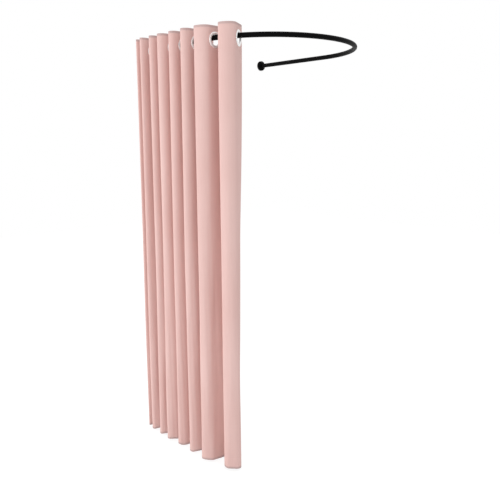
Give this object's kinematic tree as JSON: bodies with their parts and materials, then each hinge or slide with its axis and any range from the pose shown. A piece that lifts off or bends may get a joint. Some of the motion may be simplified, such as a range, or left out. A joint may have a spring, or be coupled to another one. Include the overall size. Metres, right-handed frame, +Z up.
{
  "type": "fitting room",
  "caption": "Wall-mounted U-shaped rail on round wall plates, with a long eyelet curtain that draws round it to screen a changing space.",
  "frame": {"origin": "middle of the right-hand wall plate's back face, on the rail's axis", "axes": "+Z up, +Y into the wall, +X to the right as seen by a person who faces the wall; the rail reaches out along -Y"},
  "size_m": [0.9174, 0.9008, 2],
  "materials": {
    "black_paint": "satin black powder coat",
    "zinc_steel": "zinc plated",
    "blush_cloth": "matt woven polyester",
    "silver_ring": "bright nickel plate"
  },
  "bodies": {
    "rail": {"wall_plate_right": "black_paint", "plate_cover_right": "black_paint", "plate_grub_screw_right": "zinc_steel", "wall_plate_left": "black_paint", "plate_cover_left": "black_paint", "plate_grub_screw_left": "zinc_steel", "right_arm_tube": "black_paint", "right_joining_sleeve": "zinc_steel", "right_sleeve_grub_screw_arm": "zinc_steel", "right_sleeve_grub_screw_bend": "zinc_steel", "left_arm_tube": "black_paint", "left_joining_sleeve": "zinc_steel", "left_sleeve_grub_screw_arm": "zinc_steel", "left_sleeve_grub_screw_bend": "zinc_steel", "bend_tube": "black_paint"},
    "fold_1": {"curtain_fold_1": "blush_cloth", "eyelet_front_ring_1": "silver_ring", "eyelet_back_ring_1": "silver_ring", "eyelet_front_ring_2": "silver_ring", "eyelet_back_ring_2": "silver_ring"},
    "fold_2": {"curtain_fold_2": "blush_cloth", "eyelet_front_ring_3": "silver_ring", "eyelet_back_ring_3": "silver_ring", "eyelet_front_ring_4": "silver_ring", "eyelet_back_ring_4": "silver_ring"},
    "fold_3": {"curtain_fold_3": "blush_cloth", "eyelet_front_ring_5": "silver_ring", "eyelet_back_ring_5": "silver_ring", "eyelet_front_ring_6": "silver_ring", "eyelet_back_ring_6": "silver_ring"},
    "fold_4": {"curtain_fold_4": "blush_cloth", "eyelet_front_ring_7": "silver_ring", "eyelet_back_ring_7": "silver_ring", "eyelet_front_ring_8": "silver_ring", "eyelet_back_ring_8": "silver_ring"},
    "fold_5": {"curtain_fold_5": "blush_cloth", "eyelet_front_ring_9": "silver_ring", "eyelet_back_ring_9": "silver_ring", "eyelet_front_ring_10": "silver_ring", "eyelet_back_ring_10": "silver_ring"},
    "fold_6": {"curtain_fold_6": "blush_cloth", "eyelet_front_ring_11": "silver_ring", "eyelet_back_ring_11": "silver_ring", "eyelet_front_ring_12": "silver_ring", "eyelet_back_ring_12": "silver_ring"},
    "fold_7": {"curtain_fold_7": "blush_cloth", "eyelet_front_ring_13": "silver_ring", "eyelet_back_ring_13": "silver_ring", "eyelet_front_ring_14": "silver_ring", "eyelet_back_ring_14": "silver_ring"},
    "fold_8": {"curtain_fold_8": "blush_cloth", "eyelet_front_ring_15": "silver_ring", "eyelet_back_ring_15": "silver_ring", "eyelet_front_ring_16": "silver_ring", "eyelet_back_ring_16": "silver_ring"}
  },
  "joints": [
    {"name": "fold_8_spread", "type": "slide", "parent": "rail", "child": "fold_8", "axis": [0, -1, 0], "range_m": [-0.002, 0.002]},
    {"name": "fold_7_spread", "type": "slide", "parent": "fold_8", "child": "fold_7", "axis": [0, -1, 0], "range_m": [-0.003, 0.003]},
    {"name": "fold_6_spread", "type": "slide", "parent": "fold_7", "child": "fold_6", "axis": [0, -1, 0], "range_m": [-0.005, 0.005]},
    {"name": "fold_5_spread", "type": "slide", "parent": "fold_6", "child": "fold_5", "axis": [0, -1, 0], "range_m": [-0.006, 0.006]},
    {"name": "fold_4_spread", "type": "slide", "parent": "fold_5", "child": "fold_4", "axis": [0, -1, 0], "range_m": [-0.008, 0.008]},
    {"name": "curtain_draw", "type": "slide", "parent": "fold_4", "child": "fold_3", "axis": [0, -1, 0], "range_m": [-0.011, 0.011]},
    {"name": "fold_2_turn", "type": "hinge", "parent": "fold_3", "child": "fold_2", "pos_m": [-0.71532, -0.48, 0], "axis": [0, 0, 1], "range_deg": [-6.57, 6.57]},
    {"name": "fold_1_turn", "type": "hinge", "parent": "fold_2", "child": "fold_1", "pos_m": [-0.41, -0.48, 0], "axis": [0, 0, 1], "range_deg": [-1.4, 1.4]}
  ],
  "couplings": [
    {"joint": "fold_8_spread", "follows": "curtain_draw", "ratio": 0.18182},
    {"joint": "fold_7_spread", "follows": "curtain_draw", "ratio": 0.27273},
    {"joint": "fold_6_spread", "follows": "curtain_draw", "ratio": 0.45454},
    {"joint": "fold_5_spread", "follows": "curtain_draw", "ratio": 0.54546},
    {"joint": "fold_4_spread", "follows": "curtain_draw", "ratio": 0.72727},
    {"joint": "fold_2_turn", "follows": "curtain_draw", "rad_per_m": 10.421},
    {"joint": "fold_1_turn", "follows": "curtain_draw", "rad_per_m": 2.2172}
  ]
}
